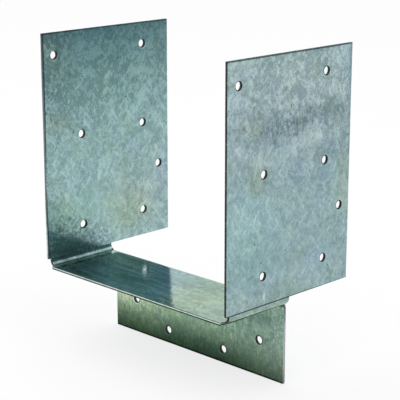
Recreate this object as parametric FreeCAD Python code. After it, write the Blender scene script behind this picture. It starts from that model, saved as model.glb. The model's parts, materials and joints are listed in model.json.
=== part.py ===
import FreeCAD, Part
import os

from FreeCAD import Vector

# A header hanger: one sheet of galvanized steel, punched flat and then folded three times.
# The header drops in between two upright side plates and bears on the seat. A tab, folded down from
# the back of the seat, lies against the face of the stud, and the rear halves of the plates lap the
# stud's two sides. Nails go through the plates into header and stud, and through the tab into the stud.
#
# Millimetres. X runs across the header, Y from the header (-) towards the stud (+), Z is up.
# The origin lies on the seat's top face, mid-width, halfway from the front edge to the stud's face.

# The timber
HEADER_WIDTH = 139.7  # planed width of a nominal 6 inch header, and of the stud behind it
HEADER_PLAY = 0.8  # room left between the header and the two plates together

# The sheet
SHEET = 1.6  # 16 gauge steel with its zinc
FOLD_RADIUS = 3.2  # inside radius of all three folds

# The seat and the tab
SEAT_DEPTH = 50.8  # from the front edge to the stud's face
TAB_DROP = 47.6  # from the seat's top face down to the tab's lower edge

# The side plates
PLATE_HEIGHT = 130.2
PLATE_LAP = 44.45  # how far a plate reaches back past the stud's face
PLATE_LIFT = 0.5  # flat left between the top of a side fold and the plate's lower edge

# The cuts that free the ends of the side folds before folding
FRONT_NOTCH = 2.4  # a side fold starts this far behind the front edges of seat and plate
REAR_NOTCH = 2.8  # and stops this far short of the stud's face
SLIT_WIDTH = 1.0  # the slit that parts the end of a side fold from the tab's fold
SLIT_LEAD = 0.8  # how far that slit runs on past the line where the tab's fold begins

# The nail holes
NAIL = 4.1  # shank of the nail
NAIL_PLAY = 0.5

# Rows of holes in a plate
TOP_ROW = 12.7  # below the plate's top edge
MIDDLE_ROW = 60.3  # below the plate's top edge
BOTTOM_ROW = 15.9  # above the plate's lower edge

# Columns of holes in a plate
HEADER_COLUMN = 27.0  # behind the front edge
HEADER_TOP_HOLE = 7.9  # behind the front edge, in the top row alone
STUD_COLUMN = 20.6  # ahead of the rear edge
STUD_EDGE_HOLE = 7.9  # ahead of the rear edge, midway between the middle and bottom rows

# Holes in the tab
TAB_UPPER_RISE = 20.6  # above the tab's lower edge
TAB_UPPER_INSET = 17.7  # in from the tab's side edges
TAB_LOWER_RISE = 7.9  # above the tab's lower edge
TAB_LOWER_SPACING = 44.45

# Places that follow from the sizes above
outer_radius = FOLD_RADIUS + SHEET
hole_radius = (NAIL + NAIL_PLAY) / 2

inner_x = (HEADER_WIDTH + HEADER_PLAY) / 2
outer_x = inner_x + SHEET
seat_edge_x = inner_x - FOLD_RADIUS

front_y = -SEAT_DEPTH / 2
stud_y = SEAT_DEPTH / 2
rear_y = stud_y + PLATE_LAP
tab_fold_y = stud_y - outer_radius
side_fold_start_y = front_y + FRONT_NOTCH
side_fold_end_y = stud_y - REAR_NOTCH

plate_low_z = FOLD_RADIUS + PLATE_LIFT
plate_top_z = plate_low_z + PLATE_HEIGHT
tab_low_z = -TAB_DROP


def arc_through(start, middle, end):
    """A round edge from start to end by way of middle."""
    return Part.Arc(start, middle, end).toShape()


def bend_point(centre, radius, first, second):
    """The middle of a quarter turn about centre, between the directions first and second."""
    return centre + (first + second).normalize() * radius


def closed_face(edges):
    """The flat face that a ring of edges bounds."""
    return Part.Face(Part.Wire(edges))


def box_between(low, high):
    """A box from its lowest to its highest corner."""
    size = high - low
    return Part.makeBox(size.x, size.y, size.z, low)


def seat_and_tab():
    """Seat, rear fold and tab: a hook-shaped section in the YZ plane, carried across the seat's width."""
    x = -seat_edge_x
    centre = Vector(x, tab_fold_y, -outer_radius)
    up = Vector(0, 0, 1)
    back = Vector(0, 1, 0)
    seat_front_top = Vector(x, front_y, 0)
    seat_rear_top = Vector(x, tab_fold_y, 0)
    tab_rear_top = Vector(x, stud_y, -outer_radius)
    tab_rear_low = Vector(x, stud_y, tab_low_z)
    tab_front_low = Vector(x, stud_y - SHEET, tab_low_z)
    tab_front_top = Vector(x, stud_y - SHEET, -outer_radius)
    seat_rear_under = Vector(x, tab_fold_y, -SHEET)
    seat_front_under = Vector(x, front_y, -SHEET)
    section = closed_face([
        Part.makeLine(seat_front_top, seat_rear_top),
        arc_through(seat_rear_top, bend_point(centre, outer_radius, up, back), tab_rear_top),
        Part.makeLine(tab_rear_top, tab_rear_low),
        Part.makeLine(tab_rear_low, tab_front_low),
        Part.makeLine(tab_front_low, tab_front_top),
        arc_through(tab_front_top, bend_point(centre, FOLD_RADIUS, up, back), seat_rear_under),
        Part.makeLine(seat_rear_under, seat_front_under),
        Part.makeLine(seat_front_under, seat_front_top),
    ])
    return section.extrude(Vector(2 * seat_edge_x, 0, 0))


def side_fold():
    """The right-hand fold from seat to plate: a quarter ring with a short upright, carried along Y."""
    y = side_fold_start_y
    centre = Vector(seat_edge_x, y, FOLD_RADIUS)
    right = Vector(1, 0, 0)
    down = Vector(0, 0, -1)
    seat_top = Vector(seat_edge_x, y, 0)
    seat_under = Vector(seat_edge_x, y, -SHEET)
    ring_outer = Vector(outer_x, y, FOLD_RADIUS)
    ring_inner = Vector(inner_x, y, FOLD_RADIUS)
    plate_outer = Vector(outer_x, y, plate_low_z)
    plate_inner = Vector(inner_x, y, plate_low_z)
    section = closed_face([
        Part.makeLine(seat_top, seat_under),
        arc_through(seat_under, bend_point(centre, outer_radius, right, down), ring_outer),
        Part.makeLine(ring_outer, plate_outer),
        Part.makeLine(plate_outer, plate_inner),
        Part.makeLine(plate_inner, ring_inner),
        arc_through(ring_inner, bend_point(centre, FOLD_RADIUS, right, down), seat_top),
    ])
    fold = section.extrude(Vector(0, side_fold_end_y - side_fold_start_y, 0))
    return fold.cut(relief_slit())


def relief_slit():
    """The slit beside the tab's fold, which lets the tab turn down while the side fold turns up."""
    low = Vector(seat_edge_x, tab_fold_y - SLIT_LEAD, -outer_radius)
    high = Vector(seat_edge_x + SLIT_WIDTH, stud_y, FOLD_RADIUS)
    return box_between(low, high)


def side_plate():
    """The right-hand plate, upright beside the header and the stud."""
    return box_between(Vector(inner_x, front_y, plate_low_z), Vector(outer_x, rear_y, plate_top_z))


def plate_holes():
    """The nail holes of both plates at once, as rods that run across the whole hanger."""
    top = plate_top_z - TOP_ROW
    middle = plate_top_z - MIDDLE_ROW
    bottom = plate_low_z + BOTTOM_ROW
    header_y = front_y + HEADER_COLUMN
    stud_column_y = rear_y - STUD_COLUMN
    places = [
        (front_y + HEADER_TOP_HOLE, top),
        (header_y, middle),
        (header_y, bottom),
        (stud_column_y, top),
        (stud_column_y, middle),
        (stud_column_y, bottom),
        (rear_y - STUD_EDGE_HOLE, (middle + bottom) / 2),
    ]
    across = Vector(1, 0, 0)
    return [Part.makeCylinder(hole_radius, 2 * outer_x, Vector(-outer_x, y, z), across) for y, z in places]


def tab_holes():
    """The tab's two pairs of nail holes, set out from its middle and from its side edges."""
    upper_x = seat_edge_x - TAB_UPPER_INSET
    lower_x = TAB_LOWER_SPACING / 2
    places = []
    for side in (-1, 1):
        places.append((side * upper_x, tab_low_z + TAB_UPPER_RISE))
        places.append((side * lower_x, tab_low_z + TAB_LOWER_RISE))
    back = Vector(0, 1, 0)
    return [Part.makeCylinder(hole_radius, SHEET, Vector(x, stud_y - SHEET, z), back) for x, z in places]


def header_hanger():
    """The whole folded sheet, with its right-hand side mirrored to the left."""
    right_side = side_fold().fuse(side_plate())
    left_side = right_side.mirror(Vector(0, 0, 0), Vector(1, 0, 0))
    sheet = seat_and_tab().fuse([right_side, left_side])
    punched = sheet.cut(plate_holes() + tab_holes())
    return punched.removeSplitter().Solids[0]


os.makedirs("parts", exist_ok=True)
hanger = header_hanger()
hanger.exportStep("parts/header_hanger.step")
print("header_hanger", round(hanger.Volume, 1), "mm3", hanger.BoundBox)
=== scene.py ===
# %% [markdown]
# # A header hanger in galvanized steel
#
# A header hanger is one sheet of zinc-coated steel. The press punches its nail holes and trims its
# corners while the sheet is flat. Then three folds make a seat, two upright side plates, and a tab that
# hangs down behind the seat. This lesson dresses the imported model in that order: it lays out the flat
# blank, folds it with a formula, gives it its thickness, coats it in zinc, and sets up a stage and camera.

# %% Load the imported model
import json

import bpy
import numpy as np
from mathutils import Matrix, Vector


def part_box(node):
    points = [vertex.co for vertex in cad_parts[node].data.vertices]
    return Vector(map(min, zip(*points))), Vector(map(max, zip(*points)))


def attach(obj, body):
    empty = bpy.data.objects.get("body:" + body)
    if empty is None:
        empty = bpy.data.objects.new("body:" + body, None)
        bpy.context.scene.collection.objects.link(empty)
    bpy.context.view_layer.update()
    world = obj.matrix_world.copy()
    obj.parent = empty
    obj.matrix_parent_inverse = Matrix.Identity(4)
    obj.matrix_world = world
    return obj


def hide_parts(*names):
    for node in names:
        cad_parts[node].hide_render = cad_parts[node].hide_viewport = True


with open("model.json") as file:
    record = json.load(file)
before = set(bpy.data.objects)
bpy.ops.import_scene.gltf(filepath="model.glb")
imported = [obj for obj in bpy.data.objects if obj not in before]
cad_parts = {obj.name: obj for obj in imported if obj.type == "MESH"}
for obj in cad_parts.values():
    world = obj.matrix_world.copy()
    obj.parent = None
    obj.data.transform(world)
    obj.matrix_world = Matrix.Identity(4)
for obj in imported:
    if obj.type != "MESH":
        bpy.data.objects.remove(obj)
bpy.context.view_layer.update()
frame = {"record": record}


# %% [markdown]
# ## Sizes
#
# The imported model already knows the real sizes, so they are read from it and not typed again: the outer
# box, the face that meets the stud, and the nail patterns. The sheet is as thick as the distance from
# the tab's front, where the nails go in, to its rear, which lies on the stud. Only the small cuts and
# the fold's radius are written here.

# %% Read the sizes
MILLIMETRES = 1000.0  # in a metre

low, high = (np.array(corner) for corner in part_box("header_hanger"))
mounts = {mount["name"]: mount for mount in frame["record"]["mounts"]}

stud_y = mounts["stud_face"]["pos_m"][1]
sheet = stud_y - mounts["tab_upper_nails"]["pos_m"][1]
hole_radius = mounts["tab_upper_nails"]["dims"]["hole_r_mm"] / MILLIMETRES

FOLD_RADIUS = 0.0032  # inside each fold
PLATE_LIFT = 0.0005  # flat left between a side fold and the plate's lower edge
FRONT_NOTCH = 0.0024  # a side fold starts this far behind the front edge
REAR_NOTCH = 0.0028  # and stops this far short of the stud's face
SLIT_WIDTH = 0.0010  # the slit that parts the end of a side fold from the tab's fold
SLIT_LEAD = 0.0008  # how far that slit runs past the line where the tab's fold begins

front_y, rear_y = low[1], high[1]
seat_edge = high[0] - sheet - FOLD_RADIUS
tab_fold = stud_y - sheet - FOLD_RADIUS
side_fold_start = front_y + FRONT_NOTCH
side_fold_end = stud_y - REAR_NOTCH
slit_start = tab_fold - SLIT_LEAD
print(f"sheet {sheet * MILLIMETRES:.2f} mm, hole radius {hole_radius * MILLIMETRES:.2f} mm")
print(f"seat edge {seat_edge * MILLIMETRES:.2f} mm from the middle")

# %% [markdown]
# ## The flat blank
#
# On the blank, s runs across the hanger and t runs from front to back. Bending neither stretches nor
# shrinks the layer in the middle of the sheet, so the blank is drawn for that layer: a fold takes up a
# quarter turn of the middle radius, and everything beyond it moves out by that length.

# %% Set out the blank
middle_radius = FOLD_RADIUS + sheet / 2
fold_length = middle_radius * np.pi / 2

# A height on a plate is at plate_foot + height along s, and one on the tab at tab_foot - height along t.
plate_foot = seat_edge + fold_length - FOLD_RADIUS
plate_low = plate_foot + FOLD_RADIUS + PLATE_LIFT
plate_top = plate_foot + high[2]
tab_foot = tab_fold + fold_length - FOLD_RADIUS - sheet
tab_end = tab_foot - low[2]
print(f"the flat blank is {2 * plate_top * MILLIMETRES:.1f} mm across")

# %% Set out the nail holes
EDGE_NAIL_STEP = 0.0127  # the lone hole near a plate's rear edge stands this far behind the stud nails


def nail_centres(name):
    """Both holes of a nail pattern, as (level, upright) places in its face:
    the pattern's middle plus or minus half its spacing."""
    mount = mounts[name]
    in_face = np.flatnonzero(np.array(mount["axis"]) == 0)
    middle = np.array(mount["pos_m"])[in_face]
    spacing = np.array([mount["dims"].get("spacing_x_mm", 0), mount["dims"].get("spacing_y_mm", 0)])
    return middle + np.array([[-1], [1]]) * spacing / 2 / MILLIMETRES


stud_nails = nail_centres("right_stud_nails")
edge_nail = stud_nails.mean(axis=0) + [EDGE_NAIL_STEP, 0]
plate_nails = np.vstack([
    nail_centres("right_header_nails"), stud_nails, nail_centres("right_top_nails"), edge_nail,
])
tab_nails = np.vstack([nail_centres("tab_upper_nails"), nail_centres("tab_lower_nails")])

plate_holes = np.stack([plate_foot + plate_nails[:, 1], plate_nails[:, 0]], axis=1)
tab_holes = np.stack([tab_nails[:, 0], tab_foot - tab_nails[:, 1]], axis=1)
print(len(plate_holes), "holes in each plate and", len(tab_holes), "in the tab")

# %% [markdown]
# ## A grid with round holes
#
# A hole could be cut with a Boolean, but that leaves long thin faces that spoil a shiny sheet. Here the
# blank is a grid of lines instead. The lines run through every corner of the outline, and close up in a
# square window round each hole and across each fold. In a window, rings close in from the square to the
# circle, so that every face stays a neat quad.

# %% Draw the grid lines
WINDOW = 0.0037  # half the side of the square window round a hole
FINE_STEPS = 12  # grid steps across a window and round a fold
PITCH = 0.0035  # grid step elsewhere, at most
LINE_GAP = 0.00003  # grid lines always stand further apart than this


def grid_lines(stops, fine):
    """Lines through every stop: a fine span gets FINE_STEPS even steps,
    and any other span gets even steps of at most PITCH."""
    marks = np.unique(np.round(np.append(stops, fine), 9))
    middle = (marks[1:] + marks[:-1]) / 2
    in_fine = ((middle[:, None] > fine[:, 0]) & (middle[:, None] < fine[:, 1])).any(axis=1)
    steps = np.where(in_fine, FINE_STEPS, np.ceil(np.diff(marks) / PITCH)).astype(int)
    spans = [np.linspace(a, b, n, endpoint=False) for a, b, n in zip(marks, marks[1:], steps)]
    return np.append(np.concatenate(spans), marks[-1])


def windows(centres):
    """The spans that the windows of these hole centres cover along one direction."""
    return np.unique(np.round(centres, 9))[:, None] + np.array([-WINDOW, WINDOW])


side_t_stops = [front_y, side_fold_start, slit_start, tab_fold, side_fold_end, rear_y]
side_t = grid_lines(side_t_stops, windows(plate_holes[:, 1]))
side_s_fine = np.vstack([[seat_edge, seat_edge + fold_length], windows(plate_holes[:, 0])])
side_s = grid_lines([seat_edge, plate_low, plate_top], side_s_fine)

seat_t = side_t[side_t < tab_fold - LINE_GAP]
tab_t_fine = np.vstack([[tab_fold, tab_fold + fold_length], windows(tab_holes[:, 1])])
middle_t = np.append(seat_t, grid_lines([tab_fold, tab_end], tab_t_fine))
middle_s = grid_lines([-seat_edge, seat_edge], windows(tab_holes[:, 0]))
print("grid lines of a side:", len(side_s), "by", len(side_t))
print("grid lines of seat and tab:", len(middle_s), "by", len(middle_t))

# %% [markdown]
# The function below turns grid lines into a patch of quads. A test says which cells are sheet and which
# are notch, slit or air. All the rings of all the holes are worked out at once: a ring is a mix of the
# window's square and the hole's circle, from all square on the outside to all circle at the hole.

# %% Fill a patch
RING_SHARES = np.array([0.35, 0.62, 0.80, 0.92, 1.0])  # how round each ring is, from the window inwards
LOWEST_CORNER = -3 * np.pi / 4  # direction of a window's lowest corner from its middle


def window_walk():
    """Steps along s and t that walk once round a window's square, counter-clockwise
    from its lowest corner: out along s, up along t, back along s, and down along t."""
    step = np.arange(FINE_STEPS)
    still = np.zeros_like(step)
    full = np.full_like(step, FINE_STEPS)
    walk_s = np.concatenate([step, full, full - step, still])
    walk_t = np.concatenate([still, step, full, full - step])
    return walk_s, walk_t


def punched_patch(s_lines, t_lines, holes, is_sheet):
    """Points and quads of a patch: the grid cells that are sheet, and in each window
    rings = (1 - share) * square + share * circle."""
    number = np.arange(len(s_lines) * len(t_lines)).reshape(len(s_lines), len(t_lines))
    grid = np.stack(np.meshgrid(s_lines, t_lines, indexing="ij"), axis=-1)
    centre = (grid[1:, 1:] + grid[:-1, :-1]) / 2
    in_window = (np.abs(centre[:, :, None] - holes) < WINDOW).all(axis=-1).any(axis=-1)
    i, j = np.nonzero(is_sheet(centre[..., 0], centre[..., 1]) & ~in_window)
    cells = np.stack([number[i, j], number[i + 1, j], number[i + 1, j + 1], number[i, j + 1]], axis=1)

    walk_s, walk_t = window_walk()
    first_s = np.abs(s_lines - (holes[:, :1] - WINDOW)).argmin(axis=1)
    first_t = np.abs(t_lines - (holes[:, 1:] - WINDOW)).argmin(axis=1)
    square = number[first_s[:, None] + walk_s, first_t[:, None] + walk_t]
    turn = LOWEST_CORNER + np.arange(len(walk_s)) / len(walk_s) * 2 * np.pi
    circle = holes[:, None] + hole_radius * np.stack([np.cos(turn), np.sin(turn)], axis=-1)
    share = RING_SHARES[:, None, None]
    rings = (1 - share) * grid.reshape(-1, 2)[square][:, None] + share * circle[:, None]

    ring_numbers = number.size + np.arange(rings[..., 0].size).reshape(rings.shape[:3])
    loops = np.concatenate([square[:, None], ring_numbers], axis=1)
    outer, inner = loops[:, :-1], loops[:, 1:]
    ring_quads = np.stack([outer, np.roll(outer, -1, axis=2), np.roll(inner, -1, axis=2), inner], axis=-1)
    flat = np.vstack([grid.reshape(-1, 2), rings.reshape(-1, 2)])
    return flat, np.vstack([cells, ring_quads.reshape(-1, 4)])


def side_is_sheet(s, t):
    """A plate above its lower edge, or a side fold between its two notches,
    less the slit beside the tab's fold."""
    in_fold = (t > side_fold_start) & (t < side_fold_end)
    in_slit = (s < seat_edge + SLIT_WIDTH) & (t > slit_start)
    return (s > plate_low) | (in_fold & ~in_slit)


def all_sheet(s, t):
    """Seat and tab have no cut but their holes."""
    return np.ones(s.shape, bool)


side_flat, side_quads = punched_patch(side_s, side_t, plate_holes, side_is_sheet)
middle_flat, middle_quads = punched_patch(middle_s, middle_t, tab_holes, all_sheet)
print("quads in a side:", len(side_quads), "and in seat and tab:", len(middle_quads))

# %% [markdown]
# ## Folding
#
# A press brake turns flat sheet into a quarter of a cylinder. So does the formula: up to the fold line a
# point keeps its place, round the fold it moves on an arc, and past the fold it goes straight on, upwards
# in a plate and downwards in the tab. The same angle gives the direction square to the sheet.

# %% Fold the blank


def quarter_fold(length, line):
    """Angle, reach and climb at a length along the sheet:
    angle = (length - line) / radius, held to a quarter turn;
    reach = the length up to the line + radius * sin(angle);
    climb = radius * (1 - cos(angle)) + the length past the fold."""
    angle = np.clip((length - line) / middle_radius, 0, np.pi / 2)
    reach = np.minimum(length, line) + middle_radius * np.sin(angle)
    climb = middle_radius * (1 - np.cos(angle)) + np.maximum(length - line - fold_length, 0)
    return angle, reach, climb


def fold_side(flat, hand):
    """The plate and fold on one hand (1 right, -1 left):
    reach is x, and climb goes up from the seat's middle layer."""
    angle, reach, climb = quarter_fold(flat[:, 0], seat_edge)
    place = np.stack([hand * reach, flat[:, 1], climb - sheet / 2], axis=1)
    inward = np.stack([-hand * np.sin(angle), 0 * angle, np.cos(angle)], axis=1)
    return place, inward


def fold_tab(flat):
    """Seat and tab: reach is y, and climb goes down from the seat's middle layer."""
    angle, reach, climb = quarter_fold(flat[:, 1], tab_fold)
    place = np.stack([flat[:, 0], reach, -climb - sheet / 2], axis=1)
    inward = np.stack([0 * angle, np.sin(angle), np.cos(angle)], axis=1)
    return place, inward


right_place, right_inward = fold_side(side_flat, 1)
left_place, left_inward = fold_side(side_flat, -1)
middle_place, middle_inward = fold_tab(middle_flat)
folded_height = right_place[:, 2].max() - middle_place[:, 2].min()
print(f"folded height: {folded_height * MILLIMETRES:.2f} mm")

# %% [markdown]
# The three patches share their points along the seat's two edges, so they are welded into one sheet.
# The left side is a mirror image, and its quads are read backwards so that every face looks the same way.
# Then the sheet loses its perfection: a punch drags the rim of each hole a little towards the far side,
# and a pressed sheet is never quite flat. Both are moves along the direction square to the sheet.

# %% Weld and press the sheet
WELD = 1e-7  # points closer than this, in metres, are one
RIM_DRAG = 0.00016  # how far the punch drags the rim of a hole inwards
RIM_REACH = 0.00055  # how far from the rim that fades
WAVE = 0.00009  # how far the sheet bows
# Lengths of three crossing waves, along s and t
WAVE_LENGTHS = np.array([[0.090, 0.135], [0.062, -0.078], [-0.048, 0.105]])


def welded(place, quads):
    """One number for all points on the same spot, and no point that no quad uses."""
    spot = np.round(place / WELD).astype(int)
    first, same = np.unique(spot, axis=0, return_index=True, return_inverse=True)[1:]
    kept, new_quads = np.unique(same.reshape(-1)[quads], return_inverse=True)
    return first[kept], new_quads.reshape(-1, 4)


def rim_drag(blank, holes):
    """RIM_DRAG * exp(-d / RIM_REACH), where d is the distance from a point to the nearest hole's rim."""
    to_rim = np.min(np.linalg.norm(blank[:, None] - holes, axis=2), axis=1) - hole_radius
    return RIM_DRAG * np.exp(-np.maximum(to_rim, 0) / RIM_REACH)


def bow(blank):
    """The mean of three crossing sine waves over the blank, from 0 to WAVE, always towards the inside."""
    phase = 2 * np.pi * (blank[:, None] / WAVE_LENGTHS).sum(axis=2) + np.arange(len(WAVE_LENGTHS))
    return WAVE * (0.5 + 0.5 * np.sin(phase).mean(axis=1))


mirror = np.array([-1, 1])
place = np.vstack([middle_place, right_place, left_place])
inward = np.vstack([middle_inward, right_inward, left_inward])
blank = np.vstack([middle_flat, side_flat, side_flat * mirror])
holes = np.vstack([tab_holes, plate_holes, plate_holes * mirror])

right_start = len(middle_flat)
left_start = right_start + len(side_flat)
quads = np.vstack([middle_quads, side_quads + right_start, side_quads[:, ::-1] + left_start])
kept, quads = welded(place, quads)

press = rim_drag(blank[kept], holes) + bow(blank[kept])
points = place[kept] + inward[kept] * press[:, None]
print(len(points), "points and", len(quads), "quads in the folded sheet")

# %% [markdown]
# ## One solid sheet
#
# The mesh so far is the middle layer. Solidify grows it to both sides by half the sheet, and gives the
# cut rim a material of its own, because shears leave bare steel there. A narrow Bevel softens the cut
# edges so that they catch the light, and Weighted Normal keeps the broad faces flat up to that bevel.

# %% Make the piece
EDGE_ROUND = 0.00028  # width of the softened edge
EDGE_SEGMENTS = 2
EDGE_ANGLE = 40  # degrees: a sharper corner than this is a cut edge
ZINC_SLOT = 0  # the piece's two material slots: its faces
STEEL_SLOT = 1  # and its cut rim


def make_piece(name, points, quads):
    """A mesh object at the origin from whole arrays of points and quads."""
    mesh = bpy.data.meshes.new(name)
    mesh.from_pydata(points, [], quads.tolist())
    mesh.shade_smooth()
    piece = bpy.data.objects.new(name, mesh)
    bpy.context.scene.collection.objects.link(piece)
    return piece


hanger = make_piece("folded_sheet", points, quads)

thickness = hanger.modifiers.new("sheet_thickness", "SOLIDIFY")
thickness.thickness = sheet
thickness.offset = 0
thickness.use_even_offset = True
thickness.material_offset_rim = STEEL_SLOT

edges = hanger.modifiers.new("softened_edges", "BEVEL")
edges.width = EDGE_ROUND
edges.segments = EDGE_SEGMENTS
edges.material = ZINC_SLOT
edges.limit_method = "ANGLE"
edges.angle_limit = np.radians(EDGE_ANGLE)

shading = hanger.modifiers.new("flat_faces", "WEIGHTED_NORMAL")
shading.mode = "FACE_AREA"

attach(hanger, "root")
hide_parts("header_hanger")
print(hanger.name, "with", [modifier.name for modifier in hanger.modifiers])

# %% [markdown]
# ## Zinc
#
# Hot-dip zinc freezes into crystals, which show as soft clouds and feathery flecks of slightly different
# brightness, with a few pits. A picture could be wrapped over the sheet, but noise in the sheet's own
# coordinates fits every face and never stretches. The helpers below add nodes to a tree, so that a
# pattern reads like a sum.

# %% Helpers for node trees


def add(tree, kind, inputs=None, **settings):
    """A node with its settings; inputs maps a socket to a plain value or to another node's output."""
    node = tree.nodes.new(kind)
    for name, value in settings.items():
        setattr(node, name, value)
    for socket, value in (inputs or {}).items():
        if isinstance(value, bpy.types.NodeSocket):
            tree.links.new(value, node.inputs[socket])
        else:
            node.inputs[socket].default_value = value
    return node


def math(tree, operation, *values):
    """The output of a Math node on one, two or three values."""
    return add(tree, "ShaderNodeMath", dict(enumerate(values)), operation=operation).outputs[0]


def vector_math(tree, operation, *values, output=0):
    """An output of a Vector Math node: 0 is its vector and 1 its value."""
    return add(tree, "ShaderNodeVectorMath", dict(enumerate(values)), operation=operation).outputs[output]


def scaled(tree, vector, scale):
    """The vector times a plain or varying scale."""
    return add(tree, "ShaderNodeVectorMath", {0: vector, "Scale": scale}, operation="SCALE").outputs[0]


def remap(tree, value, low_in, high_in, low_out=0.0, high_out=1.0):
    """A smooth step from low_out to high_out as value goes from low_in to high_in."""
    inputs = {"Value": value, "From Min": low_in, "From Max": high_in}
    inputs.update({"To Min": low_out, "To Max": high_out})
    return add(tree, "ShaderNodeMapRange", inputs, interpolation_type="SMOOTHSTEP").outputs[0]


def mix_colour(tree, share, first, second, blend="MIX"):
    """The output of a colour Mix node."""
    inputs = {0: share, 6: first, 7: second}
    return add(tree, "ShaderNodeMix", inputs, data_type="RGBA", blend_type=blend).outputs[2]


# %% [markdown]
# Three more helpers make noise. One sets its size in millimetres, one draws a pattern out along an axis,
# which turns round clouds into strokes, and one makes needles that lean two ways.

# %% Noise, plain and drawn out


def noise(tree, vector, size, detail, rough, distortion=0.0):
    """The output of a Noise Texture whose largest clouds are about size millimetres across."""
    inputs = {"Vector": vector, "Scale": 1.0 / size, "Detail": detail}
    inputs.update({"Roughness": rough, "Distortion": distortion})
    return add(tree, "ShaderNodeTexNoise", inputs).outputs["Fac"]


def drawn_out(tree, place, stretch, turn=0.0):
    """A place for a pattern that is drawn out along x, y and z by stretch, after a turn about x."""
    inputs = {"Vector": place, "Rotation": (turn, 0, 0), "Scale": stretch}
    return add(tree, "ShaderNodeMapping", inputs, vector_type="TEXTURE").outputs[0]


def needles(tree, place, side, stretch, turns, **look):
    """Noise drawn out along z: its lean goes from the first turn to the second as side goes from 0 to 1."""
    first, second = (noise(tree, drawn_out(tree, place, (1, 1, stretch), turn), **look) for turn in turns)
    return math(tree, "MULTIPLY_ADD", side, math(tree, "SUBTRACT", second, first), first)


# %% [markdown]
# The tone of the zinc is a weighted sum of noises, from clouds of 30 mm down to grain of 0.7 mm. Crystals
# and the paler feathers among them are needles, which lean one way in some areas and the other way in
# the rest. Each noise is counted from its mean, so that the tone stays about its middle.

# %% Tone of the zinc
NOISE_MEAN = 0.5
FEATHER_MEAN = 0.17  # feathers are only the crests of their noise
MIDDLE_TONE = 0.5


def weighted_tone(tree, parts):
    """MIDDLE_TONE plus the sum of weight * (value - mean) over all parts."""
    tone = MIDDLE_TONE - sum(weight * mean for _, weight, mean in parts)
    for value, weight, _ in parts:
        tone = math(tree, "MULTIPLY_ADD", value, weight, tone)
    return tone


def bloom_tone(tree, place):
    """The tone, and the flecks and the grain in it, which also fray the rims of marks."""
    cloud = noise(tree, place, size=30, detail=2, rough=0.5, distortion=0.5)
    blotch = noise(tree, place, size=6.5, detail=3, rough=0.6, distortion=1.2)
    fleck = noise(tree, place, size=2.0, detail=2, rough=0.6, distortion=0.6)
    grain = noise(tree, place, size=0.7, detail=1, rough=0.5)
    side = remap(tree, noise(tree, place, size=8, detail=1, rough=0.5), 0.45, 0.55)
    crystal = needles(tree, place, side, 4, (-0.5, 0.4), size=1.3, detail=2, rough=0.6)
    feather = needles(tree, place, side, 3.5, (0.6, -0.7), size=2.4, detail=1, rough=0.5, distortion=0.4)
    tone = weighted_tone(tree, (
        (cloud, 1.0, NOISE_MEAN),
        (blotch, 2.0, NOISE_MEAN),
        (fleck, 0.8, NOISE_MEAN),
        (grain, 1.2, NOISE_MEAN),
        (remap(tree, feather, 0.52, 0.72), 0.48, FEATHER_MEAN),
        (crystal, 0.8, NOISE_MEAN),
    ))
    return {"Tone": tone, "Fleck": fleck, "Grain": grain}


# %% [markdown]
# Rolling leaves upright strokes and level scratches, and the zinc drifts slowly in hue. Pits are dots at
# the middles of a Voronoi pattern's cells, faint or missing in many of them. Faces and cut edges both draw
# on this, so it is one node group that turns a place in millimetres into named values.

# %% Zinc bloom, as a node group
PIT_SPACING = 4.5  # about this far apart, in millimetres


def bloom_marks(tree, place):
    """Strokes drawn out along z, scratches drawn out along x, a drift of hue, and pits."""
    stroke = noise(tree, drawn_out(tree, place, (1, 1, 6)), size=1.2, detail=2, rough=0.5)
    scratch = noise(tree, drawn_out(tree, place, (10, 1, 1)), size=3.5, detail=2, rough=0.6)
    inputs = {"Vector": drawn_out(tree, place, (1, 1, 1.6)), "Scale": 1 / PIT_SPACING}
    dots = add(tree, "ShaderNodeTexVoronoi", inputs)
    chosen = add(tree, "ShaderNodeSeparateColor", {0: dots.outputs["Color"]}).outputs[1]
    near = remap(tree, dots.outputs["Distance"], 0.13, 0.03)
    return {
        "Stroke": remap(tree, stroke, 0.35, 0.70),
        "Scratch": remap(tree, scratch, 0.40, 0.62),
        "Hue": noise(tree, place, size=12, detail=2, rough=0.5, distortion=0.8),
        "Pit": math(tree, "MULTIPLY", near, remap(tree, chosen, 0.50, 1.0)),
    }


def zinc_bloom_group():
    """The node group: a place in millimetres goes in, and the bloom's values come out."""
    group = bpy.data.node_groups.new("zinc_bloom", "ShaderNodeTree")
    group.interface.new_socket("Place", in_out="INPUT", socket_type="NodeSocketVector")
    place = group.nodes.new("NodeGroupInput").outputs["Place"]
    outputs = {**bloom_tone(group, place), **bloom_marks(group, place)}
    for name in outputs:
        group.interface.new_socket(name, in_out="OUTPUT", socket_type="NodeSocketFloat")
    out = group.nodes.new("NodeGroupOutput")
    for name, value in outputs.items():
        group.links.new(value, out.inputs[name])
    return group


zinc_bloom = zinc_bloom_group()
print("zinc bloom group:", len(zinc_bloom.nodes), "nodes")

# %% [markdown]
# ## Stains, painted light and painted shade on the sheet
#
# The sheet is a metal: its base colour is what it reflects. The bloom moves that colour between a deeper
# and a lighter teal grey. Broader spots go on top. Some are stains of warmer or cooler hue, as rolling oil,
# storage and the press leave them; many are painted light and painted shade, lighter and darker patches
# that stand in for what the metal mirrors and how light falls on it. They could be painted on a picture,
# but soft spots in millimetres stay put on the sheet and let the grain show through. Each spot multiplies
# the zinc by a tint.

# %% Zinc and its tints
DEEP_ZINC = (0.215, 0.330, 0.335, 1)
PALE_ZINC = (0.420, 0.570, 0.572, 1)
PIT_GREY = (0.060, 0.080, 0.075, 1)

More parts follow.
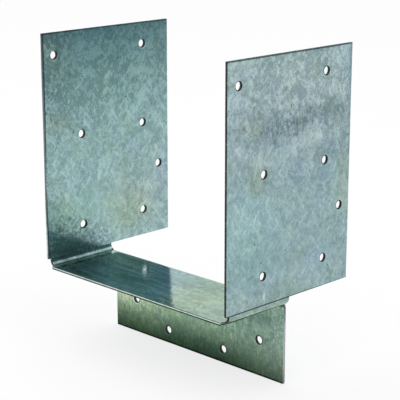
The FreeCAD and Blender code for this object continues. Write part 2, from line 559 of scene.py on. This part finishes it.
BLUISH = (1.00, 1.00, 1.05, 1)
ASHEN = (1.05, 0.985, 0.99, 1)
BLUED = (0.94, 0.985, 1.05, 1)
VIOLET = (1.00, 0.95, 1.06, 1)
TEAL = (0.93, 1.03, 1.02, 1)
MOSS = (0.92, 1.02, 0.93, 1)
INKY = (0.88, 0.94, 1.14, 1)
OLIVE = (1.06, 0.99, 0.80, 1)
# The tints below also paint light and shade. The pale and slate ones mostly paint light and shade, the
# scuff one marks a scuff and paints light by the left fold, the deep shade and fold ones paint shade, and
# the die mark and burr ones mark the press's work and also paint shade on folds and edges.
PALE = (1.30, 1.22, 1.20, 1)
SLATE = (0.66, 0.69, 0.72, 1)
SCUFF_AND_PAINTED_LIGHT = (1.7, 1.6, 1.55, 1)
DEEP_SHADE = (0.42, 0.46, 0.48, 1)
FOLD_SHADE = (0.30, 0.36, 0.38, 1)
DIE_MARK_AND_SHADE = (0.20, 0.24, 0.26, 1)
BURR_AND_SHADE = (0.03, 0.035, 0.035, 1)

# %% [markdown]
# The left plate is warm near its front edge and in a stain low at the back, violet behind that, and dark
# towards its top and its front foot. Many places in the tables below were picked in the photograph and
# worked back to millimetres through the camera. Tints and shares were chosen by comparing brightness and
# hue.

# %% Shades inside the left plate
# Slate and deep shade spots paint shade here, darkest towards the top and at the front foot, and pale
# spots paint light; the teal, olive, violet, moss and ashen spots are stains.
LEFT_SHADES = (
    # middle along y and z, half-sizes, tint, share
    (22, 70, 110, 130, TEAL, 1.0),
    (38, 24, 30, 22, OLIVE, 0.8),
    (65, 38, 9, 28, VIOLET, 1.0),
    (-14, 30, 12, 16, OLIVE, 0.5),
    (-16, 82, 16, 9, OLIVE, 0.7),
    (-18, 118, 10, 26, OLIVE, 0.5),
    (26, 108, 9, 6, PALE, 0.35),
    (45, 105, 9, 6, PALE, 0.30),
    (-12, 8, 42, 20, DEEP_SHADE, 1.0),
    (-30, 128, 34, 80, SLATE, 1.0),
    (22, 136, 120, 14, SLATE, 0.7),
    (-27, 26, 28, 24, SLATE, 1.0),
    (52, 42, 26, 28, PALE, 0.35),
    (-14, 80, 18, 16, SLATE, 0.5),
    (57, 82, 14, 14, SLATE, 0.45),
    (20, 106, 22, 12, PALE, 0.4),
    (-9, 21, 14, 10, SLATE, 0.6),
    (13, 43, 12, 10, PALE, 0.45),
    (-14, 24, 34, 22, MOSS, 1.0),
    (46, 38, 40, 44, ASHEN, 1.0),
)
print(len(LEFT_SHADES), "shades on the left plate")

# %% [markdown]
# The right plate is ashen at the top and cooler below, with a stroked dark band across it where the sheet
# rubbed in the stack, and a scuff above its foot.

# %% Shades outside the right plate
RIGHT_SHADES = (
    # The broad slate spot low down is painted shade and the pale spot at the rear top painted light; the
    # smaller pale and slate spots lighten and darken the plate in patches, and the other tints are stains
    # and a scuff.
    # middle along y and z, half-sizes, tint, share
    (22, 14, 90, 50, SLATE, 0.48),
    (66, 108, 14, 60, PALE, 0.6),
    (-10, 99, 14, 9, OLIVE, 0.4),
    (-4, 72, 14, 13, OLIVE, 0.7),
    (65, 60, 9, 26, OLIVE, 0.6),
    (-16, 87, 7, 9, PALE, 0.5),
    (41, 87, 12, 6, PALE, 0.5),
    (23, 84, 9, 5, PALE, 0.35),
    (9, 88, 14, 9, BLUED, 1.0),
    (26, 70, 14, 13, BLUED, 0.8),
    (50, 67, 10, 10, BLUED, 1.0),
    (-11, 63, 12, 8, BLUED, 0.8),
    (47, 22, 20, 16, BLUED, 0.8),
    (2.6, 8.3, 1.5, 5, SCUFF_AND_PAINTED_LIGHT, 1.0),
    (22, 105, 120, 60, ASHEN, 1.0),
    (22, 70, 130, 130, BLUISH, 0.7),
    (-10, 42, 45, 40, TEAL, 0.9),
    (-8, 46, 30, 24, PALE, 0.5),
    (25, 75, 16, 12, SLATE, 0.5),
    (45, 77, 14, 10, SLATE, 0.5),
    (0, 67, 16, 11, SLATE, 0.45),
    (47, 20, 22, 16, PALE, 0.6),
    (29, 15, 16, 12, PALE, 0.6),
    (31, 124, 20, 14, PALE, 0.6),
    (44, 112, 16, 12, PALE, 0.5),
    (59, 77, 12, 10, SLATE, 0.5),
    (26, 66, 14, 10, SLATE, 0.4),
    (48, 64, 14, 10, SLATE, 0.4),
    (15, 62, 12, 10, SLATE, 0.45),
    (60, 34, 12, 12, SLATE, 0.4),
    (61, 16, 12, 12, PALE, 0.6),
    (-12, 100, 16, 12, SLATE, 0.35),
)
RIGHT_BAND = (
    # the dark band, as middle along y and z, and half-sizes
    (7, 98, 19, 12),
    (30, 98, 20, 11),
    (58, 98, 22, 13),
    (6, 91, 24, 10),
    (26, 96, 14, 8),
    (38, 102, 14, 8),
)
print(len(RIGHT_SHADES), "shades and", len(RIGHT_BAND), "smudges on the right plate")

# %% [markdown]
# The seat is olive on its right. On its left, where it mirrors the left plate, an inky tint is a painted
# reflection colour, and pale spots near the mirrored edge are painted light. The tab is mossy, and pale
# and slate spots on it are painted light and shade, lighter at its left end and along its top. The fold
# between left plate and seat carries painted shade with a painted highlight in its hollow, painted light
# brightens the seat beside it, and painted light runs along the right plate's fold.

# %% Shades on the folds, the seat and the tab
FACE_REACH = 12  # a plate's shade reaches this far across the sheet: less than the gap between the plates
inner_x = (high[0] - sheet) * MILLIMETRES
outer_x = high[0] * MILLIMETRES

OTHER_SHADES = (
    # middle and half-sizes along x, y and z, tint, share
    # painted shade over the left fold and the seat and plate beside it
    ((-68, -5, 2), (26, 36, 17), SLATE, 1.0),
    # the tab's pale and slate spots, here and further down, are painted light and shade
    ((-58, 24, -20), (60, 4, 46), PALE, 1.0),
    ((-62, 24, -32), (40, 4, 28), PALE, 1.0),
    ((-10, 24, -12), (36, 4, 16), PALE, 0.8),
    ((10, 24, -46), (40, 4, 24), SLATE, 1.0),
    ((44, 24, -16), (46, 4, 26), SLATE, 1.0),
    ((52, 24, -14), (22, 4, 13), SLATE, 0.8),
    ((60, 24, -42), (34, 4, 18), PALE, 1.0),
    ((62, 24, -46), (24, 4, 12), PALE, 0.8),
    ((62, 24, -26), (16, 4, 34), VIOLET, 0.5),
    ((40, 0, 0), (60, 80, 6), OLIVE, 0.8),
    ((70, 0, 3), (12, 60, 14), OLIVE, 0.35),
    # painted light along the right plate's fold
    ((71, 0, 1), (6, 60, 3), PALE, 0.5),
    # an inky tint where the seat mirrors the left plate: painted reflection colour
    ((-12, 2, 0), (48, 50, 4), INKY, 1.0),
    # painted light on the seat near the edge of the mirrored plate
    ((8, -14, 0), (30, 24, 3), PALE, 1.0),
    ((-18, 12, 0), (30, 24, 3), PALE, 1.0),
    ((-20, 24, -26), (100, 6, 60), MOSS, 1.0),
    ((30, 24, -26), (18, 4, 12), PALE, 0.6),
    ((-22, 24, -28), (18, 4, 10), PALE, 0.4),
    ((2, 24, -32), (14, 4, 8), PALE, 0.45),
    ((-60, 24, -25), (24, 4, 13), PALE, 1.0),
    ((-45, 24, -27), (44, 4, 13), PALE, 0.6),
    ((-10, 24, -22), (110, 6, 34), PALE, 0.4),
    ((14, 24, -22), (16, 4, 10), PALE, 0.5),
    # a painted highlight in the hollow of the left fold, and painted light on the seat beside it
    ((-68.9, -6, 1.0), (3, 60, 1.2), SCUFF_AND_PAINTED_LIGHT, 0.7),
    ((-64.5, -8, 0), (9, 46, 1.4), SCUFF_AND_PAINTED_LIGHT, 1.0),
    ((-65.5, -8, 0), (6, 46, 1.3), SCUFF_AND_PAINTED_LIGHT, 1.0),
)


def on_face(x, rows):
    """Rows of one plate's face at x, as middles and half-sizes along x, y and z."""
    return [((x, y, z), (FACE_REACH, half_y, half_z), *rest) for y, z, half_y, half_z, *rest in rows]


SHADES = (*on_face(-inner_x, LEFT_SHADES), *on_face(outer_x, RIGHT_SHADES), *OTHER_SHADES)
SMUDGES = on_face(outer_x, RIGHT_BAND)
print(len(SHADES), "shades in all")

# %% [markdown]
# The press leaves marks that don't shine: lines where the dies gripped the folds, burrs along cut edges,
# and torn rims round the punched holes. A band low on the outside of each side fold and a line inside each
# are painted shade, and the burrs along the lower edges of the seat's front and the tab's foot are partly
# painted shade. A rim is a rod of dark through the sheet, a little wider than the hole. A few large pits
# have places of their own, and in some areas the crystals stand out more, or less.

# %% Marks, rims, pits and bold crystals
HANDS = (-1, 1)  # left and right
FOLD_RUN = 90  # half-length of a mark along a side fold, past both ends of it
EDGE_RUN = 400  # half-length of a mark along a cut edge, so long that it hardly fades
front = front_y * MILLIMETRES
stud = stud_y * MILLIMETRES
thick = sheet * MILLIMETRES
top = high[2] * MILLIMETRES
foot = low[2] * MILLIMETRES
rim_reach = 2 * hole_radius * MILLIMETRES

DULL_MARKS_AND_SHADE = (
    # middle and half-sizes along x, y and z, tint
    # the side folds, outside and inside, and the tab's fold
    *(((hand * outer_x, 0, 3.9), (1.0, FOLD_RUN, 0.52), DIE_MARK_AND_SHADE) for hand in HANDS),
    # a band low on the outside of each side fold: painted shade
    *(((hand * outer_x, 0, -1.5), (7.0, FOLD_RUN, 0.98), DIE_MARK_AND_SHADE) for hand in HANDS),
    # a line inside each side fold: painted shade
    *(((hand * (inner_x - 0.2), 0, 2.6), (2.0, FOLD_RUN, 1.45), FOLD_SHADE) for hand in HANDS),
    ((-120, 22.3, -0.3), (190, 2.0, 1.6), DIE_MARK_AND_SHADE),
    # the seat's front, the tab's foot, the plates' tops and the left plate's front
    ((0, front, 0), (EDGE_RUN, 0.55, 0.42), DIE_MARK_AND_SHADE),
    # the lower edges of the seat's front and the tab's foot: burrs, and painted shade
    ((0, front, -thick), (EDGE_RUN, 0.7, 0.7), BURR_AND_SHADE),
    ((0, stud - thick, foot), (EDGE_RUN, 1.8, 1.5), BURR_AND_SHADE),
    *(((hand * (outer_x + inner_x) / 2, 22, top), (3.2, EDGE_RUN, 1.1), DIE_MARK_AND_SHADE) for hand in HANDS),
    ((-inner_x, front, 105), (2.0, 1.3, 70), DIE_MARK_AND_SHADE),
    ((-inner_x, front, 8), (2.0, 1.0, 50), DIE_MARK_AND_SHADE),
)
HOLE_RIMS = (
    # middle and half-sizes along x, y and z: rods across both plates, and through the tab
    *(((0, y, z), (EDGE_RUN, rim_reach, rim_reach)) for y, z in plate_nails * MILLIMETRES),
    *(((x, stud, z), (rim_reach, 60, rim_reach)) for x, z in tab_nails * MILLIMETRES),
)
LEFT_PITS = (
    (17.8, 117.4), (30.1, 114.8), (2.7, 106.9), (10.0, 81.5), (-19.1, 99.9), (-22.1, 97.7), (32.4, 88.5),
)
RIGHT_PITS = ((18.5, 30.3), (0.0, 27.3), (36.6, 113.5), (56.5, 100.4))
PITS = [(-inner_x, *pit) for pit in LEFT_PITS] + [(outer_x, *pit) for pit in RIGHT_PITS]
BOLD_CRYSTALS = (
    # middle and half-sizes along x, y and z, share; less than 0 is calmer
    ((-inner_x, 22, 124), (12, 90, 55), 1.0),
    ((outer_x, 22, 122), (12, 90, 34), 0.5),
    ((outer_x, 22, 40), (12, 90, 80), -0.3),
    ((-inner_x, 8, 28), (12, 36, 22), -0.3),
)
print(len(DULL_MARKS_AND_SHADE), "dull marks,", len(HOLE_RIMS), "rods for hole rims and", len(PITS), "large pits")

# %% [markdown]
# ## The zinc material
#
# These helpers start a material, place the bloom in it, and make one soft spot. A spot's rim is frayed by
# a noise, because stains and marks never end in a clean oval.

# %% Helpers for materials
SPOT_CORE = 0.1  # a spot is full up to this share of its reach


def new_material(name):
    """A new node material, its tree and its Principled shader."""
    material = bpy.data.materials.new(name)
    material.use_nodes = True
    tree = material.node_tree
    return material, tree, tree.nodes["Principled BSDF"]


def object_place(tree):
    """The piece's own coordinates, in millimetres."""
    return scaled(tree, add(tree, "ShaderNodeTexCoord").outputs["Object"], MILLIMETRES)


def bloom_values(tree, place):
    """The zinc bloom group in a material, as a dictionary of its outputs."""
    bloom = add(tree, "ShaderNodeGroup", node_tree=zinc_bloom)
    tree.links.new(place, bloom.inputs["Place"])
    return dict(bloom.outputs.items())


def spot(tree, place, middle, reach, ragged=0.0, fray=None):
    """A soft spot: 1 at its middle and 0 past its reach (half-sizes along x, y and z).
    A noise moves its rim in and out by up to half of ragged."""
    away = vector_math(tree, "SUBTRACT", place, middle)
    away = vector_math(tree, "DIVIDE", away, reach)
    away = vector_math(tree, "LENGTH", away, output=1)
    if fray is not None:
        away = math(tree, "MULTIPLY_ADD", fray, ragged, math(tree, "SUBTRACT", away, ragged / 2))
    return remap(tree, away, 1.0, SPOT_CORE)


def tinted(tree, colour, mask, share, tint):
    """The colour multiplied by a tint where the mask says, up to a share."""
    return mix_colour(tree, math(tree, "MULTIPLY", mask, share), colour, tint, blend="MULTIPLY")


# %% [markdown]
# The colour comes in two steps. First the tone picks a grey between deep and pale zinc: the seat adds its
# scratches to the tone and the tab its strokes. Then the slow drift of hue, the shades and the dark band
# tint that grey.

# %% Tone and shades
SEAT_ABOVE = (1.5, 0.8)  # heights between which the mask of the seat sets in, from above
SEAT_BELOW = (-2.6, -2.0)  # and from below
TAB_BELOW = (-4.0, -6.0)  # heights between which the mask of the tab sets in
MARK_SHARE = 0.4  # how much scratches and strokes move the tone
HUE_DRIFT = ((0.70, 0.35, OLIVE), (0.30, 0.45, VIOLET))  # hue at which a tint is full, share, tint
BAND_STROKES = (0.2, 0.8, 0.55, 1.0)  # from thin to full strokes, the band goes from weak to full
SHADE_FRAY = 1.2


def seat_and_tab(tree, place):
    """Masks by height: 1 on the seat, and 1 on the tab."""
    height = add(tree, "ShaderNodeSeparateXYZ", {0: place}).outputs[2]
    on_seat = math(tree, "MULTIPLY", remap(tree, height, *SEAT_ABOVE), remap(tree, height, *SEAT_BELOW))
    return on_seat, remap(tree, height, *TAB_BELOW)


def zinc_tone(tree, place, bloom, on_seat, on_tab):
    """The bloom's tone + mask * share * (mark - middle), then tone + bold * (tone - middle)."""
    tone = bloom["Tone"]
    for mask, value in ((on_seat, bloom["Scratch"]), (on_tab, bloom["Stroke"])):
        mark = math(tree, "MULTIPLY", math(tree, "SUBTRACT", value, MIDDLE_TONE), MARK_SHARE)
        tone = math(tree, "MULTIPLY_ADD", mask, mark, tone)
    for middle, reach, share in BOLD_CRYSTALS:
        bold = math(tree, "MULTIPLY", spot(tree, place, middle, reach), share)
        tone = math(tree, "MULTIPLY_ADD", bold, math(tree, "SUBTRACT", tone, MIDDLE_TONE), tone)
    return tone


def shaded_zinc(tree, place, bloom, tone):
    """Deep to pale zinc by tone, times the tints of the hue, the shades and the stroked band."""
    zinc = mix_colour(tree, tone, DEEP_ZINC, PALE_ZINC)
    for full, share, tint in HUE_DRIFT:
        zinc = tinted(tree, zinc, remap(tree, bloom["Hue"], NOISE_MEAN, full), share, tint)
    for middle, reach, tint, share in SHADES:
        zinc = tinted(tree, zinc, spot(tree, place, middle, reach, SHADE_FRAY, bloom["Fleck"]), share, tint)
    strokes = remap(tree, bloom["Stroke"], *BAND_STROKES)
    for middle, reach in SMUDGES:
        smudge = spot(tree, place, middle, reach, SHADE_FRAY, bloom["Fleck"])
        zinc = tinted(tree, zinc, math(tree, "MULTIPLY", smudge, strokes), 1.0, SLATE)
    return zinc


# %% [markdown]
# Marks do two things at once: they darken the zinc, and they take its metallic shine away. So one
# function gives back both the colour and a dullness, from 0 for clean zinc to 1 for torn steel.

# %% Marks, rims and pits on the zinc
MARK_DARK = (0.0, 0.5)  # spot values at which a mark starts to darken, and is dark
MARK_DULL = (0.3, 0.8)  # and the same for its dullness
RIM_FADE = (0.38, 0.50)  # spot values at the outside and the inside of a hole's torn rim
SCRATCH_DULL = 0.06  # how dull the seat's scratches are
MARK_FRAY = 0.4
PIT_FRAY = 0.6
PIT_REACH = (0.8, 0.8, 0.8)


def marked_zinc(tree, place, bloom, zinc, on_seat):
    """The zinc after its marks, painted shade, torn rims and pits, and its dullness: the strongest of all.
    """
    dull = math(tree, "MULTIPLY", math(tree, "MULTIPLY", on_seat, bloom["Scratch"]), SCRATCH_DULL)
    for middle, reach, tint in DULL_MARKS_AND_SHADE:
        mark = spot(tree, place, middle, reach, MARK_FRAY, bloom["Grain"])
        zinc = tinted(tree, zinc, remap(tree, mark, *MARK_DARK), 1.0, tint)
        dull = math(tree, "MAXIMUM", dull, remap(tree, mark, *MARK_DULL))
    for middle, reach in HOLE_RIMS:
        rim = remap(tree, spot(tree, place, middle, reach), *RIM_FADE)
        zinc = tinted(tree, zinc, rim, 1.0, BURR_AND_SHADE)
        dull = math(tree, "MAXIMUM", dull, rim)
    zinc = mix_colour(tree, bloom["Pit"], zinc, PIT_GREY)
    for middle in PITS:
        pit = spot(tree, place, middle, PIT_REACH, PIT_FRAY, bloom["Grain"])
        zinc = mix_colour(tree, pit, zinc, PIT_GREY)
    return zinc, dull


# %% [markdown]
# Brighter zinc is also smoother, so the tone drives the roughness too, and a faint relief. The seat is
# the smoothest face and acts as a mirror: its dark half is the left plate, seen in it, and ends where that
# plate's rear edge ends. A real seat is never quite level. Its normals lean by a little over a degree,
# which puts the end of the mirrored plate in its place, while the shape stays square.

# %% Zinc on the faces
ZINC_ROUGHNESS = (0.22, 0.15)  # of the darkest and the brightest zinc
DULL_ROUGHNESS = 0.7
SEAT_POLISH = 0.5  # the seat's roughness, as a share of the plates'
SEAT_LEAN = (-0.0168, -0.0168, 0)  # how far the seat's normals tip along x, y and z
RELIEF = 0.00001  # metres from the darkest to the brightest zinc
GRAZING_TINT = (0.84, 0.91, 0.80, 1)  # of what the zinc mirrors at a grazing angle


def leaning_normal(tree, on_seat):
    """The face's normal, plus SEAT_LEAN on the seat, made one long again."""
    straight = add(tree, "ShaderNodeNewGeometry").outputs["Normal"]
    leaning = vector_math(tree, "ADD", straight, scaled(tree, SEAT_LEAN, on_seat))
    return vector_math(tree, "NORMALIZE", leaning)


def zinc_material():
    """Galvanized face: tone, shades and marks for its colour, and roughness, relief and shine to match."""
    material, tree, shader = new_material("galvanized_zinc")
    place = object_place(tree)
    bloom = bloom_values(tree, place)
    on_seat, on_tab = seat_and_tab(tree, place)
    tone = zinc_tone(tree, place, bloom, on_seat, on_tab)
    zinc = shaded_zinc(tree, place, bloom, tone)
    zinc, dull = marked_zinc(tree, place, bloom, zinc, on_seat)

    rough = remap(tree, bloom["Tone"], 0.0, 1.0, *ZINC_ROUGHNESS)
    rough = math(tree, "MULTIPLY", rough, remap(tree, on_seat, 0.0, 1.0, 1.0, SEAT_POLISH))
    rough = math(tree, "MAXIMUM", rough, math(tree, "MULTIPLY", dull, DULL_ROUGHNESS))
    relief = math(tree, "SUBTRACT", bloom["Tone"], bloom["Pit"])
    normal = leaning_normal(tree, on_seat)
    bump = add(tree, "ShaderNodeBump", {"Height": relief, "Distance": RELIEF, "Normal": normal})

    tree.links.new(zinc, shader.inputs["Base Color"])
    tree.links.new(rough, shader.inputs["Roughness"])
    tree.links.new(math(tree, "SUBTRACT", 1.0, dull), shader.inputs["Metallic"])
    tree.links.new(bump.outputs[0], shader.inputs["Normal"])
    shader.inputs["Specular Tint"].default_value = GRAZING_TINT
    shader.inputs["Specular IOR Level"].default_value = 0.0
    return material


hanger.data.materials.append(zinc_material())
print("zinc material:", len(hanger.data.materials[ZINC_SLOT].node_tree.nodes), "nodes")

# %% [markdown]
# ## Cut edges
#
# Shears and punches tear the rim of the sheet, so it is mostly dark, rough steel. Here and there the
# blade dragged zinc over it: along the front of the seat, on the tab's two sides, and on the left plate's
# front, most of all low down. The same spots say where.

# %% Steel on the cut edges
TORN_STEEL = (0.016, 0.026, 0.025, 1)
SMEARED_ZINC = (0.70, 0.82, 0.82, 1)
STEEL_GLINTS = (0.55, 0.80, 0.0, 0.20)  # from faint to bold grain, glints go from none to a fifth
STEEL_ROUGHNESS = (0.35, 0.65, 0.45, 0.30)  # from faint to bold grain, it gets smoother
STEEL_SHINE = 0.1
SMEAR_FRAY = 0.7
tab_side = seat_edge * MILLIMETRES
smear_y = stud - 0.9  # about the middle of the tab's thickness

SMEARS = (
    # middle and half-sizes along x, y and z, share
    ((0, front, -0.48), (EDGE_RUN, 4, 0.46), 1.0),
    ((-outer_x, front, 75), (2.6, 4, 100), 0.26),
    ((-outer_x, front, 10), (1.8, 4, 26), 1.0),
    ((-tab_side, smear_y, -26), (4, 1.2, 34), 1.0),
    ((tab_side, smear_y, -26), (4, 1.2, 34), 0.6),
)


def edge_material():
    """Sheared rim: dark torn steel with a few glints, and zinc dragged over it in a few places."""
    material, tree, shader = new_material("sheared_edge")
    place = object_place(tree)
    bloom = bloom_values(tree, place)
    steel = mix_colour(tree, remap(tree, bloom["Grain"], *STEEL_GLINTS), TORN_STEEL, SMEARED_ZINC)
    shine = 0.0
    for middle, reach, share in SMEARS:
        smear = math(tree, "MULTIPLY", spot(tree, place, middle, reach, SMEAR_FRAY, bloom["Fleck"]), share)
        steel = mix_colour(tree, smear, steel, SMEARED_ZINC)
        shine = math(tree, "MAXIMUM", shine, smear)
    tree.links.new(steel, shader.inputs["Base Color"])
    tree.links.new(shine, shader.inputs["Metallic"])
    tree.links.new(remap(tree, bloom["Grain"], *STEEL_ROUGHNESS), shader.inputs["Roughness"])
    shader.inputs["Specular IOR Level"].default_value = STEEL_SHINE
    return material


hanger.data.materials.append(edge_material())
print("materials:", [material.name for material in hanger.data.materials])

# %% [markdown]
# ## The stage
#
# Metal shows what stands round it, so the stage matters as much as the zinc. The floor and the world are
# white where the camera or a reflection sees them. The floor is only partly so, and keeps a pale shadow.
# The hanger stands on the tab's lower edge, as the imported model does.

# %% Floor
FLOOR_SIZE = 12.0
FLOOR_GAP = 0.0002
FLOOR_WHITE = (0.94, 0.94, 0.94, 1)
FLOOR_ROUGHNESS = 0.9
PLAIN_SHARE = 0.75  # how much of the floor is plain white to the camera and to reflections
floor_z = low[2] - FLOOR_GAP
half = FLOOR_SIZE / 2


def seen_white(tree):
    """1 for camera, glossy and transmission rays, which see the stage as plain white, and 0 for others."""
    path = add(tree, "ShaderNodeLightPath")
    seen = math(tree, "MAXIMUM", path.outputs["Is Camera Ray"], path.outputs["Is Glossy Ray"])
    return math(tree, "MAXIMUM", seen, path.outputs["Is Transmission Ray"])


def card(name, corner, along, up):
    """A flat rectangle for the stage: corner + u * along + v * up, for u and v of 0 and 1."""
    uv = np.array([[0, 0], [1, 0], [1, 1], [0, 1]])
    points = np.array(corner) + uv @ np.array([along, up])
    piece = make_piece(name, points, np.array([[0, 1, 2, 3]]))
    return piece


def floor_material():
    """A white floor, mixed with plain white for the camera and reflections, so that its shadow is pale."""
    material, tree, shader = new_material("white_floor")
    shader.inputs["Base Color"].default_value = FLOOR_WHITE
    shader.inputs["Roughness"].default_value = FLOOR_ROUGHNESS
    glow = add(tree, "ShaderNodeEmission")
    share = math(tree, "MULTIPLY", seen_white(tree), PLAIN_SHARE)
    mixed = add(tree, "ShaderNodeMixShader", {0: share, 1: shader.outputs[0], 2: glow.outputs[0]})
    tree.links.new(mixed.outputs[0], tree.nodes["Material Output"].inputs["Surface"])
    return material


floor = card("floor", (-half, -half, floor_z), (FLOOR_SIZE, 0, 0), (0, FLOOR_SIZE, 0))
floor.data.materials.append(floor_material())
print(f"floor at {floor_z * MILLIMETRES:.2f} mm")

# %% [markdown]
# The world is the room round the floor. It is plain white to the camera and to reflections, and a little
# less as a light.

# %% World
WHITE = (1, 1, 1, 1)
WORLD_LIGHT = 0.95

world = bpy.data.worlds.new("white_room")
bpy.context.scene.world = world
world.use_nodes = True
room = world.node_tree
background = room.nodes["Background"]
strength = remap(room, seen_white(room), 0.0, 1.0, WORLD_LIGHT, 1.0)
room.links.new(strength, background.inputs["Strength"])
background.inputs["Color"].default_value = WHITE
print("world light", WORLD_LIGHT)

# %% [markdown]
# A photographer shapes metal with cards. A dark one stands upright behind the right plate, where only the
# left plate mirrors it: it darkens that plate towards the top, and by way of the plate also the left half
# of the seat. A warm one lies on the floor in front of the tab and shades it off downwards. The cards
# show only in reflections: they throw no shadow and the camera doesn't see them.

# %% Cards that only reflections see


def graded_material(name, direction, *stops):
    """A plain glow that goes from each stop's colour to the next, by distance along a direction."""
    material, tree, _ = new_material(name)
    place = add(tree, "ShaderNodeTexCoord").outputs["Object"]
    distance = vector_math(tree, "DOT_PRODUCT", place, direction, output=1)
    colour = stops[0][1]
    for (start, _), (end, next_colour) in zip(stops, stops[1:]):
        colour = mix_colour(tree, remap(tree, distance, start, end), colour, next_colour)
    glow = add(tree, "ShaderNodeEmission", {"Color": colour})
    tree.links.new(glow.outputs[0], tree.nodes["Material Output"].inputs["Surface"])
    return material


def reflection_card(name, corner, along, up, *grade):
    """A graded card that only glossy rays see."""
    piece = card(name, corner, along, up)
    piece.data.materials.append(graded_material(name + "_glow", *grade))
    piece.visible_camera = False
    piece.visible_diffuse = False
    piece.visible_shadow = False
    piece.visible_transmission = False
    return piece


# %% [markdown]
# The dark card is as pale as the floor low down, darkest at two thirds of its height, and bluer above.
# Its shades climb a little towards its rear. The warm card darkens from front to back.

# %% The dark card and the warm card
FLOOR_PALE = (0.96, 0.96, 0.96, 1)
COOL_DARK = (0.275, 0.385, 0.40, 1)
COOL_BLUE = (0.28, 0.44, 0.56, 1)
WARM_PALE = (0.95, 1.00, 0.76, 1)
WARM_DARK = (0.055, 0.09, 0.045, 1)

CARD_X = 0.120
CARD_Y = 0.130
CARD_LENGTH = 0.35  # along y
CARD_HEIGHT = 0.22
CARD_LEAN = 0.10  # how much each shade climbs per length towards the rear
CARD_PALE = 0.005  # heights of the shades at the card's front edge
CARD_DARK = 0.095
CARD_BLUE = 0.108

WARM_LOW = np.array([-0.20, -0.11])  # lowest and highest x and y of the warm card
WARM_HIGH = np.array([0.08, 0.023])
WARM_LEAN = 0.05  # how much each shade comes forward per length to the left
WARM_START = -0.045  # places of the shades along y, at the middle of the hanger
WARM_END = 0.03
WARM_LIFT = 0.0005  # above the floor

drop = CARD_LEAN * CARD_Y
reflection_card(
    "dark_card", (CARD_X, CARD_Y, floor_z), (0, CARD_LENGTH, 0), (0, 0, CARD_HEIGHT), (0, -CARD_LEAN, 1),
    (CARD_PALE - drop, FLOOR_PALE), (CARD_DARK - drop, COOL_DARK), (CARD_BLUE - drop, COOL_BLUE),
)
warm_x, warm_y = WARM_HIGH - WARM_LOW
reflection_card(
    "tab_card", (*WARM_LOW, floor_z + WARM_LIFT), (warm_x, 0, 0), (0, warm_y, 0), (-WARM_LEAN, 1, 0),
    (WARM_START, WARM_PALE), (WARM_END, WARM_DARK),
)
print("a dark card behind the right plate and a warm card before the tab")

# %% [markdown]
# One broad soft lamp overhead gives the floor its gentle shadow. Its level is plain: with the world it
# lights a white floor to about white and no further.

# %% Lamp
LAMP_SIZE = 1.5
LAMP_POWER = 5.0
LAMP_PLACE = (-0.3, -0.4, 1.6)

lamp_data = bpy.data.lights.new("soft_box", "AREA")
lamp_data.size = LAMP_SIZE
lamp_data.energy = LAMP_POWER
lamp = bpy.data.objects.new("soft_box", lamp_data)
lamp.location = LAMP_PLACE
bpy.context.scene.collection.objects.link(lamp)
print("lamp of", LAMP_POWER, "W at", LAMP_PLACE)

# %% [markdown]
# ## The camera
#
# The view was found by matching the plates' corners and the holes: from the front right, a little above,
# through a long lens. The camera stands upright, so its axes follow from two angles.

# %% Camera
FOCAL_PIXELS = 1344.1  # focal length, measured in pixels of the picture
PICTURE_PIXELS = 400
SENSOR = 36.0
CLIP_START = 0.01
CAMERA_PLACE = (0.5147, -0.4877, 0.2336)
AZIMUTH = np.radians(44.96)
ELEVATION = np.radians(14.72)

camera_data = bpy.data.cameras.new("camera")
camera_data.sensor_width = SENSOR
camera_data.lens = FOCAL_PIXELS / PICTURE_PIXELS * SENSOR
camera_data.clip_start = CLIP_START
camera = bpy.data.objects.new("camera", camera_data)
bpy.context.scene.collection.objects.link(camera)
bpy.context.scene.camera = camera

level = np.array([np.sin(AZIMUTH), -np.cos(AZIMUTH), 0])
back = level * np.cos(ELEVATION) + np.array([0, 0, np.sin(ELEVATION)])
right = np.array([np.cos(AZIMUTH), np.sin(AZIMUTH), 0])
turn = np.eye(4)
turn[:3, :3] = np.stack([right, np.cross(back, right), back], axis=1)
turn[:3, 3] = CAMERA_PLACE
camera.matrix_world = Matrix(turn.tolist())
bpy.context.scene.view_settings.view_transform = "Standard"
print(f"lens {camera_data.lens:.2f} mm")
